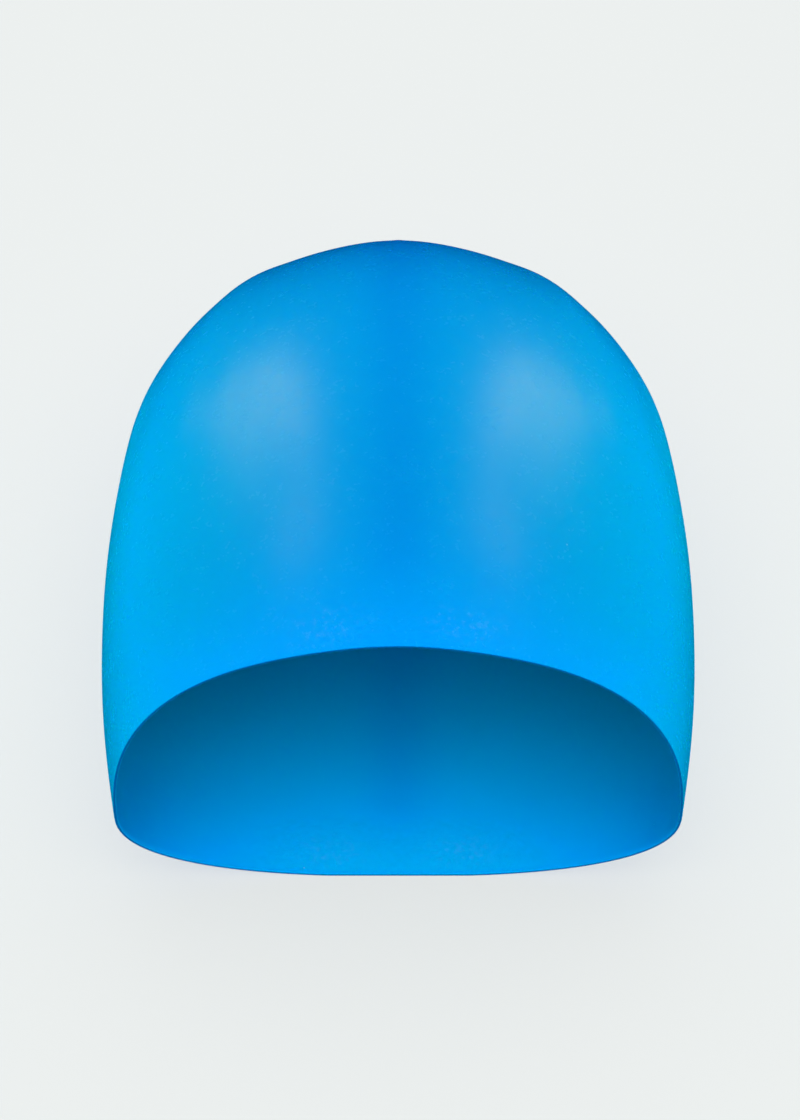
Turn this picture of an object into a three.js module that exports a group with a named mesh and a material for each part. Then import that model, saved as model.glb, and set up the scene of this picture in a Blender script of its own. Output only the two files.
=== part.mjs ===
// A one-piece moulded silicone swim cap, lying on its back wall with its mouth open towards -Y.
// Millimetres, +Z up, X across the cap, crown towards +Y. The origin is the middle of the base of its box.
import * as THREE from "three";
import { ParametricGeometry } from "three/addons/geometries/ParametricGeometry.js";

// Driving sizes
const WALL = 0.85; // silicone wall, the same all over
const LENGTH = 176; // from the plane of the mouth to the crown
const POLE_HEIGHT = 48; // height of the crown's pole over the surface that the cap lies on
const LYING_LENGTH = 112; // how far from the mouth the back wall runs straight before it curves up to the crown
const PRESSED = 0.5; // how far the soft back wall is pressed flat where it lies
const STEPS_A_ROW = 3; // rings between two rows of the section table
const SIDES = 72; // facets around

// Sections square to the cap's axis, from the mouth to the pole.
// along: distance from the mouth; half: half of the width; top: height of the front wall at the middle;
// waist: height of the widest line; upper, lower: how full the section is over and under the waist (2 is an ellipse).
const SECTIONS = [
  { along: 0, half: 78.9, top: 114.9, waist: 32.6, upper: 2.36, lower: 2.44 },
  { along: 26, half: 82.5, top: 118.4, waist: 32.9, upper: 2.36, lower: 2.44 },
  { along: 52, half: 83.8, top: 119.9, waist: 33.9, upper: 2.35, lower: 2.43 },
  { along: 78, half: 83.0, top: 119.2, waist: 35.6, upper: 2.33, lower: 2.4 },
  { along: 103, half: 79.6, top: 115.5, waist: 37.9, upper: 2.29, lower: 2.35 },
  { along: 127, half: 73.6, top: 108.4, waist: 40.6, upper: 2.22, lower: 2.27 },
  { along: 148, half: 62.2, top: 97.0, waist: 43.5, upper: 2.15, lower: 2.18 },
  { along: 164.5, half: 44.3, top: 81.4, waist: 46.1, upper: 2.07, lower: 2.08 },
  { along: 173.3, half: 21.9, top: 63.6, waist: 47.5, upper: 2.02, lower: 2.02 },
  { along: LENGTH, half: 0, top: POLE_HEIGHT, waist: POLE_HEIGHT, upper: 2, lower: 2 },
];
const POLE = SECTIONS.length - 1;

// Soft folds in the wall, each one repeated on the other side of the cap.
// angle: where it runs around the section, in degrees up from the waist; width: its half width in degrees;
// row: the row of the table where it is highest; reach: how many rows it takes to fade; rise: its height over the radius.
const FOLDS = [
  { name: "front ridge", angle: 90, width: 15, row: 0, reach: 3.5, rise: 0.027 },
  { name: "crown ridge", angle: 90, width: 20, row: 7, reach: 3.0, rise: 0.043 },
  { name: "shoulder fold", angle: 44.9, width: 6.4, row: 6.4, reach: 1.2, rise: 0.017 },
  { name: "temple fold", angle: 19.5, width: 6, row: 4.5, reach: 1.0, rise: 0.013 },
];

// A smooth curve through one column of the table. The rows are repeated past the pole, with the same sign for a
// length along the axis and the other sign for a distance from it, so that the crown closes smoothly.
function through(values, sign) {
  const all = [...values, ...values.slice(0, -1).reverse().map((v) => sign * v)];
  const n = all.length,
    bend = new Array(n).fill(0),
    upper = new Array(n).fill(0);
  for (let i = 1; i < n - 1; i++) {
    const pivot = 4 - upper[i - 1];
    upper[i] = 1 / pivot;
    bend[i] = (6 * (all[i + 1] - 2 * all[i] + all[i - 1]) - bend[i - 1]) / pivot;
  }
  for (let i = n - 2; i > 0; i--) bend[i] -= upper[i] * bend[i + 1];
  return (row) => {
    const i = Math.min(Math.floor(row), n - 2),
      q = row - i,
      p = 1 - q;
    return (
      p * all[i] + q * all[i + 1] + ((p * p * p - p) * bend[i] + (q * q * q - q) * bend[i + 1]) / 6
    );
  };
}

const alongAt = through(SECTIONS.map((s) => s.along), 1);
const halfAt = through(SECTIONS.map((s) => s.half), -1);
const waistAt = through(SECTIONS.map((s) => s.waist), 1);
const riseAt = through(SECTIONS.map((s) => s.top - s.waist), -1);
const upperAt = through(SECTIONS.map((s) => s.upper), 1);
const lowerAt = through(SECTIONS.map((s) => s.lower), 1);

// How much the folds lift the wall, as a share of the section's radius.
function lift(row, angle) {
  const bell = (x) => Math.exp(-x * x);
  let sum = 0;
  for (const f of FOLDS) {
    const a = THREE.MathUtils.degToRad(f.angle),
      w = THREE.MathUtils.degToRad(f.width);
    let around = bell((angle - a) / w);
    if (f.angle !== 90) around += bell((angle - Math.PI + a) / w);
    sum += f.rise * bell((row - f.row) / f.reach) * around;
  }
  return sum;
}

// A point of the outer face, at a row of the table and an angle up from the waist, from -90 to 270 degrees.
function outer(row, angle) {
  const y = alongAt(row),
    waist = waistAt(row);
  const bent = THREE.MathUtils.clamp((y - LYING_LENGTH) / (LENGTH - LYING_LENGTH), 0, 1);
  const base = POLE_HEIGHT * (1 - Math.sqrt(Math.max(0, 1 - bent * bent)));
  const up = Math.sin(angle) >= 0;
  const depth = up ? riseAt(row) : waist - base + PRESSED * Math.sqrt(1 - bent * bent);
  const power = up ? upperAt(row) : lowerAt(row);
  const c = Math.abs(Math.cos(angle)) ** power + Math.abs(Math.sin(angle)) ** power;
  const r = c ** (-1 / power) * (1 + lift(row, angle));
  return new THREE.Vector3(
    halfAt(row) * r * Math.cos(angle),
    y,
    Math.max(0, waist + depth * r * Math.sin(angle)),
  );
}

// The wall's outward direction there. At the mouth it stays in the mouth's plane, so that the rim's edge is flat.
function outward(row, angle) {
  const d = 1e-3;
  const lengthwise = outer(row + d, angle).sub(outer(Math.max(row - d, 0), angle));
  const around = outer(row, angle + d).sub(outer(row, angle - d));
  const n = lengthwise.cross(around).normalize();
  if (row === 0) n.setY(0).normalize();
  return n;
}

// The whole wall is one closed sheet: from the pole down the inner face to the rim, over its edge, and back up the
// outer face to the pole.
const RINGS = POLE * STEPS_A_ROW;
function wall(u, v, target) {
  const ring = Math.round(u * (2 * RINGS + 1));
  const inside = ring <= RINGS;
  const row = (inside ? RINGS - ring : ring - RINGS - 1) / STEPS_A_ROW;
  // The facets start half a step off the middle, so that one flat strip of them lies along the cap's underside.
  const facet = Math.round(v * SIDES) % SIDES;
  const angle = -Math.PI / 2 + ((facet + 0.5) * 2 * Math.PI) / SIDES;
  if (row === POLE) target.set(0, inside ? LENGTH - WALL : LENGTH, POLE_HEIGHT);
  else {
    target.copy(outer(row, angle));
    if (inside) target.addScaledVector(outward(row, angle), -WALL);
  }
}

const silicone = new THREE.MeshStandardMaterial({
  name: "silicone",
  color: new THREE.Color(0x0096e6),
  roughness: 0.45,
  metalness: 0,
});

const cap = new THREE.Mesh(new ParametricGeometry(wall, 2 * RINGS + 1, SIDES), silicone);
cap.name = "cap_shell";
cap.position.set(0, -LENGTH / 2, 0);

const part = new THREE.Group();
part.name = "swim_cap";
part.add(cap);

export default part;
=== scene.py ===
"""A one-piece moulded silicone swim cap lying on its back wall, its mouth open towards -Y. Metres, +Z up."""
import math

import bpy
import numpy as np
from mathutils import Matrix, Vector


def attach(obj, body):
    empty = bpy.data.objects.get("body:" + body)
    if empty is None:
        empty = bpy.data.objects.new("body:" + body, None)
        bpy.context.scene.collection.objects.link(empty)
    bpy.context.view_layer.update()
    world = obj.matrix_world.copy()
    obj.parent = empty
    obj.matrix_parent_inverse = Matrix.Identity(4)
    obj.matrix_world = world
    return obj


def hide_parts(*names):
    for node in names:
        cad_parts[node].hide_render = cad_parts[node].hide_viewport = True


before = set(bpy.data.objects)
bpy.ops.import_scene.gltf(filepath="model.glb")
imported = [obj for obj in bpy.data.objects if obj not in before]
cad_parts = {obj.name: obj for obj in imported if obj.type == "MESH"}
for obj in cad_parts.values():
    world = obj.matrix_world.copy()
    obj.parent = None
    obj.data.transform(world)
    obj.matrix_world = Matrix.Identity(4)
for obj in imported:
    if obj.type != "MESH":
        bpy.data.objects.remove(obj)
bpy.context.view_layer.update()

MM = 0.001

# ---------------------------------------------------------------------------------------------------------------
# The cap's form, in millimetres from the plane of its mouth: the same sections and folds as the solid it replaces.
# ---------------------------------------------------------------------------------------------------------------
WALL = 0.85
LENGTH = 176.0
POLE_HEIGHT = 48.0
LYING_LENGTH = 112.0
PRESSED = 0.5

# along, half, top, waist, upper, lower
SECTIONS = [
    (0.0, 78.9, 114.9, 32.6, 2.36, 2.44),
    (26.0, 82.5, 118.4, 32.9, 2.36, 2.44),
    (52.0, 83.8, 119.9, 33.9, 2.35, 2.43),
    (78.0, 83.0, 119.2, 35.6, 2.33, 2.40),
    (103.0, 79.6, 115.5, 37.9, 2.29, 2.35),
    (127.0, 73.6, 108.4, 40.6, 2.22, 2.27),
    (148.0, 62.2, 97.0, 43.5, 2.15, 2.18),
    (164.5, 44.3, 81.4, 46.1, 2.07, 2.08),
    (173.3, 21.9, 63.6, 47.5, 2.02, 2.02),
    (LENGTH, 0.0, POLE_HEIGHT, POLE_HEIGHT, 2.0, 2.0),
]
POLE = len(SECTIONS) - 1

# name, angle, width, row, reach, rise
FOLDS = [
    ("front ridge", 90.0, 15.0, 0.0, 3.5, 0.027),
    ("crown ridge", 90.0, 20.0, 7.0, 3.0, 0.043),
    ("shoulder fold", 44.9, 6.4, 6.4, 1.2, 0.017),
    ("temple fold", 19.5, 6.0, 4.5, 1.0, 0.013),
]


def through(values, sign):
    """A smooth curve through one column of the table, repeated past the pole with the same or the other sign."""
    v = np.array(values, dtype=float)
    every = np.concatenate([v, sign * v[:-1][::-1]])
    n = len(every)
    bend, upper = np.zeros(n), np.zeros(n)
    for i in range(1, n - 1):
        pivot = 4 - upper[i - 1]
        upper[i] = 1 / pivot
        bend[i] = (6 * (every[i + 1] - 2 * every[i] + every[i - 1]) - bend[i - 1]) / pivot
    for i in range(n - 2, 0, -1):
        bend[i] -= upper[i] * bend[i + 1]

    def at(row):
        i = np.clip(np.floor(row).astype(int), 0, n - 2)
        q = row - i
        p = 1 - q
        return p * every[i] + q * every[i + 1] + ((p**3 - p) * bend[i] + (q**3 - q) * bend[i + 1]) / 6

    return at


columns = list(zip(*SECTIONS))
along_at = through(columns[0], 1)
half_at = through(columns[1], -1)
rise_at = through([t - w for t, w in zip(columns[2], columns[3])], -1)
waist_at = through(columns[3], 1)
upper_at = through(columns[4], 1)
lower_at = through(columns[5], 1)


def outer(row, angle):
    """Points of the outer face, shape (..., 3), at rows of the table and angles up from the waist in radians."""
    row, angle = np.broadcast_arrays(np.asarray(row, dtype=float), np.asarray(angle, dtype=float))
    y, waist = along_at(row), waist_at(row)
    bent = np.clip((y - LYING_LENGTH) / (LENGTH - LYING_LENGTH), 0, 1)
    flat = np.sqrt(np.maximum(0, 1 - bent**2))
    base = POLE_HEIGHT * (1 - flat)
    up = np.sin(angle) >= 0
    depth = np.where(up, rise_at(row), waist - base + PRESSED * flat)
    power = np.where(up, upper_at(row), lower_at(row))
    c = np.abs(np.cos(angle)) ** power + np.abs(np.sin(angle)) ** power
    lift = np.zeros_like(y)
    for name, a, w, at, reach, rise in FOLDS:
        around = np.exp(-(((angle - math.radians(a)) / math.radians(w)) ** 2))
        if a != 90:
            around += np.exp(-(((angle - math.pi + math.radians(a)) / math.radians(w)) ** 2))
        lift = lift + rise * np.exp(-(((row - at) / reach) ** 2)) * around
    r = c ** (-1 / power) * (1 + lift)
    z = waist + depth * r * np.sin(angle)
    return np.stack([half_at(row) * r * np.cos(angle), y, np.maximum(0, z)], axis=-1)


def outward(row, angle):
    """The wall's outward direction. At the mouth it stays in the mouth's plane."""
    d = 1e-3
    row, angle = np.broadcast_arrays(np.asarray(row, dtype=float), np.asarray(angle, dtype=float))
    lengthwise = outer(row + d, angle) - outer(np.maximum(row - d, 0), angle)
    around = outer(row, angle + d) - outer(row, angle - d)
    n = np.cross(lengthwise, around)
    n[row == 0, 1] = 0
    return n / np.linalg.norm(n, axis=-1, keepdims=True)


# ---------------------------------------------------------------------------------------------------------------
# The fine mesh: one closed sheet, from the pole down the inner face, round the rim, and up the outer face.
# ---------------------------------------------------------------------------------------------------------------
def angles_around(count):
    """Angles from -90 to 270 degrees, closer together over the front's middle line, where the mould line runs."""
    a = np.linspace(-90, 270, 7201)
    density = 1 + 4.5 * np.exp(-(((a - 90) / 4.5) ** 2))
    total = np.concatenate([[0], np.cumsum((density[1:] + density[:-1]) / 2)])
    return np.radians(np.interp(np.arange(count) / count * total[-1], total, a))


OUTER_STEPS = 20
INNER_STEPS = 12
SIDES = 280
EDGE = 0.28  # how far the rim's two edges are rounded
ANGLES = angles_around(SIDES)


def mould_line(row, angle):
    """The fine raised line over the front's middle, left by the mould: highest at the crown, gone half way down."""
    x = half_at(row) * np.cos(angle)
    front = np.where(np.sin(angle) > 0, 1.0, 0.0)
    fade = 1 / (1 + np.exp(-(row - 5.7) / 0.35)) / (1 + np.exp((row - 8.6) / 0.2))
    return 0.14 * fade * front * np.exp(-((x / 1.1) ** 2))


def build_cap():
    rings, on_edge = [], {}
    inner_rows = np.linspace(POLE, 0, POLE * INNER_STEPS + 1)[1:]
    outer_rows = np.linspace(0, POLE, POLE * OUTER_STEPS + 1)[:-1]
    first = np.interp(EDGE, [0, along_at(np.array(1.0))], [0, 1])
    for row in inner_rows[:-1]:
        if row > first / EDGE * 2:
            rings.append(outer(row, ANGLES) - WALL * outward(row, ANGLES))
    n0, rim = outward(0.0, ANGLES), outer(0.0, ANGLES)
    # The rim: in along the inner face, a rounded edge, the flat end, a rounded edge, and out along the outer face.
    for depth in (1.6, 0.8):
        p = outer(first / EDGE * depth, ANGLES)
        rings.append(p - WALL * outward(first / EDGE * depth, ANGLES))
    for k in range(6):
        t = k / 5 * math.pi / 2
        p = rim - (WALL - EDGE + EDGE * math.cos(t)) * n0
        p[:, 1] = EDGE * (1 - math.sin(t))
        on_edge[len(rings)] = math.sin(t) ** 2
        rings.append(p)
    inner_count = len(rings)
    for k in range(6):
        t = k / 5 * math.pi / 2
        p = rim - EDGE * (1 - math.sin(t)) * n0
        p[:, 1] = EDGE * (1 - math.cos(t))
        on_edge[len(rings)] = math.cos(t) ** 2
        rings.append(p)
    for row in [first / EDGE * 0.8, first / EDGE * 1.6] + [r for r in outer_rows if r > first / EDGE * 2]:
        p = outer(row, ANGLES)
        rings.append(p + (mould_line(row, ANGLES))[:, None] * outward(row, ANGLES))
    grid = np.array(rings)
    grid[..., 2] = np.maximum(grid[..., 2], 0)
    count = len(rings)
    points = np.concatenate([[[0, LENGTH - WALL, POLE_HEIGHT]], grid.reshape(-1, 3), [[0, LENGTH, POLE_HEIGHT]]])
    points[:, 1] -= LENGTH / 2
    at = lambda r, k: 1 + r * SIDES + k % SIDES
    faces = []
    for k in range(SIDES):
        faces.append((0, at(0, k + 1), at(0, k)))
        faces.append((len(points) - 1, at(count - 1, k), at(count - 1, k + 1)))
    for r in range(count - 1):
        for k in range(SIDES):
            faces.append((at(r, k), at(r, k + 1), at(r + 1, k + 1), at(r + 1, k)))
    mesh = bpy.data.meshes.new("silicone_cap")
    mesh.from_pydata([tuple(p) for p in points * MM], [], faces)
    mesh.validate()
    mesh.shade_smooth()
    # For the material: how far each point is from the rim, and whether it is on the inner face or the rim's end.
    side = np.repeat([1.0 if r < inner_count else 0.0 for r in range(count)], SIDES)
    inside = mesh.attributes.new("inside", "FLOAT", "POINT")
    inside.data.foreach_set("value", np.concatenate([[1.0], side, [0.0]]).astype(np.float32))
    end = np.repeat([on_edge.get(r, 0.0) for r in range(count)], SIDES)
    edge = mesh.attributes.new("edge", "FLOAT", "POINT")
    edge.data.foreach_set("value", np.concatenate([[0.0], end, [0.0]]).astype(np.float32))
    from_rim = mesh.attributes.new("from_rim", "FLOAT", "POINT")
    from_rim.data.foreach_set("value", (points[:, 1] + LENGTH / 2).astype(np.float32))
    return bpy.data.objects.new("silicone_cap", mesh)


cap = build_cap()
bpy.context.collection.objects.link(cap)

# ---------------------------------------------------------------------------------------------------------------
# Silicone: bright blue, satin, with a fine matte grain, painted light that makes it a little lighter towards the rim,
# and duller inside.
# ---------------------------------------------------------------------------------------------------------------
silicone = bpy.data.materials.new("silicone")
silicone.use_nodes = True
nodes, links = silicone.node_tree.nodes, silicone.node_tree.links
shader = nodes["Principled BSDF"]


def node(kind, **values):
    """A new node. Names with two underscores set inputs, such as Scale__ for the input Scale; others set properties."""
    n = nodes.new(kind)
    for name, value in values.items():
        if name.endswith("__"):
            target = n.inputs[name[:-2].replace("_", " ")]
        elif name.startswith("in") and name[2:].isdigit():
            target = n.inputs[int(name[2:])]
        else:
            setattr(n, name, value)
            continue
        if isinstance(value, bpy.types.NodeSocket):
            links.new(value, target)
        else:
            target.default_value = value
    return n


def math_node(operation, a, b=0.0, c=0.0, clamp=False):
    return node("ShaderNodeMath", operation=operation, use_clamp=clamp, in0=a, in1=b, in2=c).outputs[0]


def ranged(value, low, high, to_low, to_high):
    return node(
        "ShaderNodeMapRange", interpolation_type="SMOOTHSTEP", Value__=value, From_Min__=low, From_Max__=high,
        To_Min__=to_low, To_Max__=to_high,
    ).outputs[0]


place = node("ShaderNodeTexCoord").outputs["Object"]


def noise(size_mm, detail=2.0, roughness=0.5, offset=0.0):
    """A noise from 0 to 1 whose lumps are about size_mm across."""
    spot = node("ShaderNodeVectorMath", operation="ADD", in0=place, in1=(offset, offset * 0.7, -offset)).outputs[0]
    return node(
        "ShaderNodeTexNoise", Vector__=spot, Scale__=1000.0 / size_mm, Detail__=detail, Roughness__=roughness
    ).outputs["Fac"]


inside = node("ShaderNodeAttribute", attribute_name="inside").outputs["Fac"]
edge = node("ShaderNodeAttribute", attribute_name="edge").outputs["Fac"]
from_rim = node("ShaderNodeAttribute", attribute_name="from_rim").outputs["Fac"]

clouds = noise(34, 3, offset=1.3)
mottle = noise(5.5, 3, offset=2.1)
grain = noise(0.9, 2, offset=0.4)
fine = noise(0.38, 1, offset=3.7)


def bell(value, middle, width):
    """One at the middle, falling to a third at one width from it."""
    t = math_node("DIVIDE", math_node("SUBTRACT", value, middle), width)
    return math_node("POWER", math.e, math_node("MULTIPLY", math_node("MULTIPLY", t, t), -1.0))


def mixed(factor, a, b):
    n = node("ShaderNodeMix", data_type="RGBA", clamp_factor=True)
    for value, target in ((factor, n.inputs[0]), (a, n.inputs[6]), (b, n.inputs[7])):
        if isinstance(value, bpy.types.NodeSocket):
            links.new(value, target)
        else:
            target.default_value = value if target.type == "VALUE" else (*value, 1)
    return n.outputs[2]


# The pigment: bluest along the middle; the greener flanks are partly painted sheen, and the lighter colour towards the
# rim, outside and on the inner face, is painted light.
where = node("ShaderNodeSeparateXYZ", in0=place).outputs
across = math_node("ABSOLUTE", where[0])
flank = ranged(across, 0.012, 0.078, 0.0, 1.0)
rim_reach = math_node("SUBTRACT", 24.0, math_node("MULTIPLY", flank, 10.0))
# painted light: the colour gets lighter within about 24 mm of the rim, 14 mm over the flanks
painted_rim_light = math_node("POWER", math.e, math_node("MULTIPLY", math_node("POWER", math_node("DIVIDE", from_rim, rim_reach), 1.5), -1.0))
outside = mixed(flank, (0.0, 0.262, 0.715), (0.0, 0.315, 0.745))
outside = mixed(painted_rim_light, outside, mixed(flank, (0.0, 0.300, 0.900), (0.0, 0.335, 0.950)))
within = mixed(flank, (0.0, 0.262, 0.735), (0.0, 0.262, 0.735))
within = mixed(painted_rim_light, within, mixed(flank, (0.0, 0.390, 0.900), (0.0, 0.270, 0.740)))
blue = mixed(inside, outside, within)


# painted shade: a band along the middle line, made darker and bluer by the slow terms below
middle_shade_band = math_node("MULTIPLY", bell(across, 0.0, 0.010), ranged(from_rim, 8.0, 32.0, 0.25, 1.0))


def slow(terms, middle=0.0):
    """A slow change over the cap: e to a sum of terms in u, across over 84 mm, and v, lengthwise over 88 mm, and of
    a band along the middle line."""
    u2 = math_node("POWER", math_node("DIVIDE", across, 0.084), 2.0)
    v = math_node("DIVIDE", where[1], 0.088)
    total = 0.0
    for share, u_power, v_power in terms:
        term = math_node("MULTIPLY", math_node("POWER", u2, u_power), share) if u_power else share
        for _ in range(v_power):
            term = math_node("MULTIPLY", term, v)
        total = math_node("ADD", total, term)
    total = math_node("ADD", total, math_node("MULTIPLY", middle_shade_band, middle))
    return math_node("POWER", math.e, total)


# Slow changes of shade, fitted to the photo: pigment, and also shading that the lamps below leave over.
shade = node("ShaderNodeSeparateColor", in0=blue).outputs
green = node(
    "ShaderNodeMix", data_type="FLOAT", in0=inside,
    in2=slow([(0.053, 1, 0), (0.109, 0, 1), (0.122, 1, 1), (-0.184, 0, 2), (0.540, 2, 0), (-0.179, 0, 3)], -0.170),
    in3=slow([(0.036, 1, 0), (-0.158, 0, 1), (-0.025, 1, 1), (0.007, 0, 2), (-0.344, 2, 0), (0.042, 0, 3)], -0.152),
).outputs[0]
bluer = node(
    "ShaderNodeMix", data_type="FLOAT", in0=inside,
    in2=slow([(-0.117, 1, 0), (0.169, 0, 1), (0.023, 1, 1), (-0.034, 0, 2), (0.759, 2, 0), (-0.201, 0, 3)], -0.028),
    in3=slow([(-0.363, 1, 0), (-0.077, 0, 1), (-0.152, 1, 1), (0.156, 0, 2), (-0.133, 2, 0), (-0.104, 0, 3)], -0.044),
).outputs[0]
blue = node("ShaderNodeCombineColor", in0=shade[0],
    in1=math_node("MULTIPLY", shade[1], green),
    in2=math_node("MINIMUM", math_node("MULTIPLY", shade[2], bluer), 0.98)).outputs[0]
# slow clouds and a finer mottle in it, a few percent each
blue = mixed(ranged(clouds, 0.3, 0.7, 0.0, 0.06), blue, (0.0, 0.20, 0.60))
blue = mixed(ranged(mottle, 0.35, 0.75, 0.0, 0.04), blue, (0.0, 0.38, 0.85))


# faint dull smudges by the rim, where the cap is gripped, and a few pale specks of dust
smudge = math_node("MULTIPLY", bell(across, 0.018, 0.009), bell(from_rim, 7.5, 4.5))
smudge = math_node("MULTIPLY", smudge, ranged(noise(1.5, 4, 0.7, offset=8.3), 0.48, 0.70, 0.0, 0.25))
blue = mixed(smudge, blue, (0.09, 0.33, 0.92))
spots = node("ShaderNodeTexVoronoi", Vector__=place, Scale__=1000.0 / 9.0)
speck = ranged(spots.outputs["Distance"], 0.018, 0.034, 1.0, 0.0)
rare = ranged(node("ShaderNodeSeparateColor", in0=spots.outputs["Color"]).outputs[0], 0.13, 0.15, 1.0, 0.0)
blue = mixed(math_node("MULTIPLY", math_node("MULTIPLY", speck, rare), 0.5), blue, (0.25, 0.60, 0.95))
# a painted highlight on the lip just inside the rim, and painted shade on the rim's flat end, which is dark
lip_highlight = math_node("MULTIPLY", inside, bell(from_rim, 0.6, 0.9))
blue = mixed(math_node("MULTIPLY", lip_highlight, 0.6), blue, (0.0, 0.36, 1.0))
# painted shade: the rim's flat end is darkened
blue = mixed(edge, blue, (0.0, 0.090, 0.50))
links.new(blue, shader.inputs["Base Color"])

gloss = math_node("ADD", ranged(noise(1.4, 3, offset=7.7), 0.3, 0.7, -0.05, 0.05), ranged(mottle, 0.3, 0.7, 0.20, 0.25))
gloss = math_node("ADD", gloss, math_node("MULTIPLY", smudge, 0.3))
gloss = math_node("ADD", gloss, math_node("MULTIPLY", inside, 0.14))
links.new(gloss, shader.inputs["Roughness"])
shader.inputs["IOR"].default_value = 1.41

height = math_node("ADD", math_node("MULTIPLY", grain, 0.0012), math_node("MULTIPLY", fine, 0.0004))
height = math_node("ADD", height, math_node("MULTIPLY", noise(2.6, 2, offset=5.5), 0.0025))
bump = node("ShaderNodeBump", Strength__=1.0, Distance__=0.001, Height__=height)
links.new(bump.outputs[0], shader.inputs["Normal"])
cap.data.materials.append(silicone)

# ---------------------------------------------------------------------------------------------------------------
# Floor, light and camera
# ---------------------------------------------------------------------------------------------------------------
scene = bpy.context.scene
scene.view_settings.view_transform = "Standard"


def towards(azimuth, elevation):
    """A direction: azimuth 0 is -Y, 90 is +X."""
    a, e = math.radians(azimuth), math.radians(elevation)
    return Vector((math.sin(a) * math.cos(e), -math.cos(a) * math.cos(e), math.sin(e)))


floor_mesh = bpy.data.meshes.new("floor")
floor_mesh.from_pydata([(-8, -8, 0), (8, -8, 0), (8, 8, 0), (-8, 8, 0)], [], [(0, 1, 2, 3)])
floor = bpy.data.objects.new("floor", floor_mesh)
bpy.context.collection.objects.link(floor)
plain = bpy.data.materials.new("pale_floor")
plain.use_nodes = True
plain.node_tree.nodes["Principled BSDF"].inputs["Base Color"].default_value = (0.16, 0.166, 0.164, 1)
plain.node_tree.nodes["Principled BSDF"].inputs["Roughness"].default_value = 1
plain.node_tree.nodes["Principled BSDF"].inputs["Specular IOR Level"].default_value = 0
floor_mesh.materials.append(plain)
floor.visible_glossy = floor.visible_diffuse = False

for_cap = bpy.data.collections.new("lit_cap")
for_cap.objects.link(cap)
for_floor = bpy.data.collections.new("lit_floor")
for_floor.objects.link(floor)


def soft_light(name, azimuth, elevation, spread, colour, receivers, blockers=None, glossy=False):
    """A soft light from far off, as wide as spread in degrees. With blockers, only they cast shadows in it."""
    data = bpy.data.lights.new(name, "SUN")
    data.angle = math.radians(spread)
    strongest = max(colour)
    data.energy = strongest
    data.color = [c / strongest for c in colour]
    light = bpy.data.objects.new(name, data)
    bpy.context.collection.objects.link(light)
    light.rotation_mode = "QUATERNION"
    light.rotation_quaternion = towards(azimuth, elevation).to_track_quat("Z", "Y")
    light.location = 2 * towards(azimuth, elevation)
    light.light_linking.receiver_collection = receivers
    if blockers:
        light.light_linking.blocker_collection = blockers
    light.visible_glossy = glossy
    data.cycles.use_multiple_importance_sampling = glossy
    light.visible_camera = False
    return light


# azimuth, elevation, spread, colour
CAP_LIGHTS = [
    ("side", 84, 6, 28, (0.4, 0.587, 0.204)),
    ("side_low", 86, -16, 28, (0.2, 0.297, 0.0)),
    ("behind", 128, 34, 40, (0.9, 1.094, 0.629)),
    ("back_low", 142, -24, 40, (1.0, 0.370, 1.701)),
    ("flank", 80, 34, 40, (0.6, 0.517, 0.773)),
    ("key", 30, 70, 36, (0.2, 0.0, 0.299)),
    ("front", 35, 50, 36, (1.0, 1.331, 0.763)),
    ("mouth_low", 0, -18, 50, (1.0, 1.448, 0.435)),
    ("dome", 0, 90, 150, (0.4, 0.4, 0.4)),
    ("bounce", 0, -90, 150, (1.2, 1.2, 1.2)),
]
cap_lights = {}
for name, azimuth, elevation, spread, colour in CAP_LIGHTS:
    for side in (1, -1) if azimuth % 180 else (1,):
        cap_lights[name, side] = soft_light(
            f"{name}_{'right' if side > 0 else 'left'}", side * azimuth, elevation, spread, colour, for_cap, for_cap
        )
floor_light = soft_light("floor_light", 0, 90, 90, (3.8, 3.8, 3.8), for_floor)
floor_fill = soft_light("floor_fill", 0, 90, 90, (12.7, 12.7, 12.7), for_floor, for_floor)

# Two softboxes behind the cap's shoulders, left and right, seen only as its highlights: bright in the middle and
# fading towards their edges. u and v are measured from the middle of the box, across and up, at a distance of 1.
SOFTBOX_DISTANCE = 1.5
GLOWS = [  # u, v, width, height, brightness in red and in green
    (-0.136, 0.08, 0.073, 0.18, 1.9, 1.8),
    (0.004, 0.02, 0.138, 0.21, 1.9, 1.7),
    (-0.059, 0.28, 0.074, 0.12, 1.6, 1.5),
    (0.021, -0.23, 0.103, 0.07, 0.95, 0.85),
    (0.087, -0.42, 0.050, 0.16, 0.5, 0.4),
    (0.094, 0.47, 0.117, 0.09, 1.3, 1.2),
]


def softbox(side):
    d0 = towards(side * 141, 26)
    across = Vector((0, 0, 1)).cross(d0).normalized() * -side
    up = d0.cross(Vector((0, 0, 1)).cross(d0).normalized())
    mesh = bpy.data.meshes.new("softbox")
    corners = [(-0.34, -0.60), (0.30, -0.60), (0.30, 0.72), (-0.34, 0.72)]
    mesh.from_pydata([SOFTBOX_DISTANCE * (d0 + u * across + v * up) for u, v in corners], [], [(0, 1, 2, 3)])
    layer = mesh.uv_layers.new(name="box")
    for loop in mesh.loops:
        layer.data[loop.index].uv = corners[loop.vertex_index]
    box = bpy.data.objects.new(f"softbox_{'right' if side > 0 else 'left'}", mesh)
    bpy.context.collection.objects.link(box)
    box.visible_camera = box.visible_diffuse = box.visible_shadow = box.visible_transmission = False
    mesh.materials.append(glow)
    return box


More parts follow.
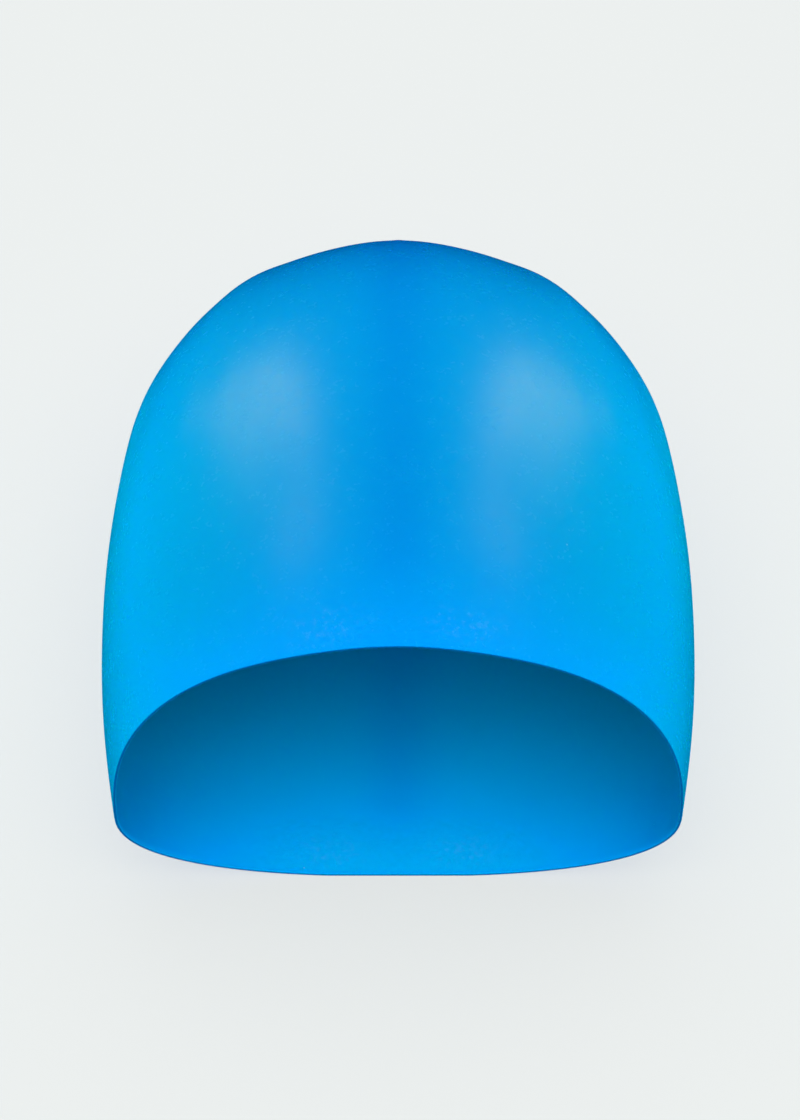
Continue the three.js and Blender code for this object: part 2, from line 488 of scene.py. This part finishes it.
glow = bpy.data.materials.new("softbox_glow")
glow.use_nodes = True
silicone_nodes, silicone_links = nodes, links
nodes, links = glow.node_tree.nodes, glow.node_tree.links
nodes.clear()
uv = node("ShaderNodeSeparateXYZ", in0=node("ShaderNodeUVMap", uv_map="box").outputs[0]).outputs
red = green = 0.0
for u, v, width, tall, bright_red, bright_green in GLOWS:
    du = math_node("POWER", math_node("ABSOLUTE", math_node("DIVIDE", math_node("SUBTRACT", uv[0], u), width)), 3.0)
    dv = math_node("POWER", math_node("ABSOLUTE", math_node("DIVIDE", math_node("SUBTRACT", uv[1], v), tall)), 3.0)
    lump = math_node("POWER", math.e, math_node("MULTIPLY", math_node("ADD", du, dv), -1.0))
    red = math_node("ADD", red, math_node("MULTIPLY", lump, bright_red))
    green = math_node("ADD", green, math_node("MULTIPLY", lump, bright_green))
tint = node("ShaderNodeCombineColor", in0=red, in1=green, in2=math_node("MULTIPLY", red, 0.15)).outputs[0]
lamp = node("ShaderNodeEmission", Color__=tint)
links.new(lamp.outputs[0], node("ShaderNodeOutputMaterial").inputs[0])
softboxes = [softbox(1), softbox(-1)]

# A pale surround, which only the camera sees.
world = bpy.data.worlds.new("studio")
scene.world = world
world.use_nodes = True
surround = world.node_tree.nodes["Background"].inputs
surround["Color"].default_value = (0.84, 0.871, 0.863, 1)
world.cycles_visibility.diffuse = world.cycles_visibility.glossy = False
world.cycles_visibility.transmission = world.cycles_visibility.scatter = False

# The photographic view: from 35 degrees under the cap's own level, which is 55 degrees over the floor it lies on.
TARGET = Vector((0.00051, -0.01006, 0.0451))
camera_data = bpy.data.cameras.new("camera")
camera_data.lens = 135
camera_data.clip_start, camera_data.clip_end = 0.05, 50
camera = bpy.data.objects.new("camera", camera_data)
bpy.context.collection.objects.link(camera)
back = towards(0, 55)
camera.location = TARGET + 1.2 * back
camera.rotation_mode = "QUATERNION"
camera.rotation_quaternion = (-back).to_track_quat("-Z", "Y")
scene.camera = camera

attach(cap, "root")
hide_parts("cap_shell")
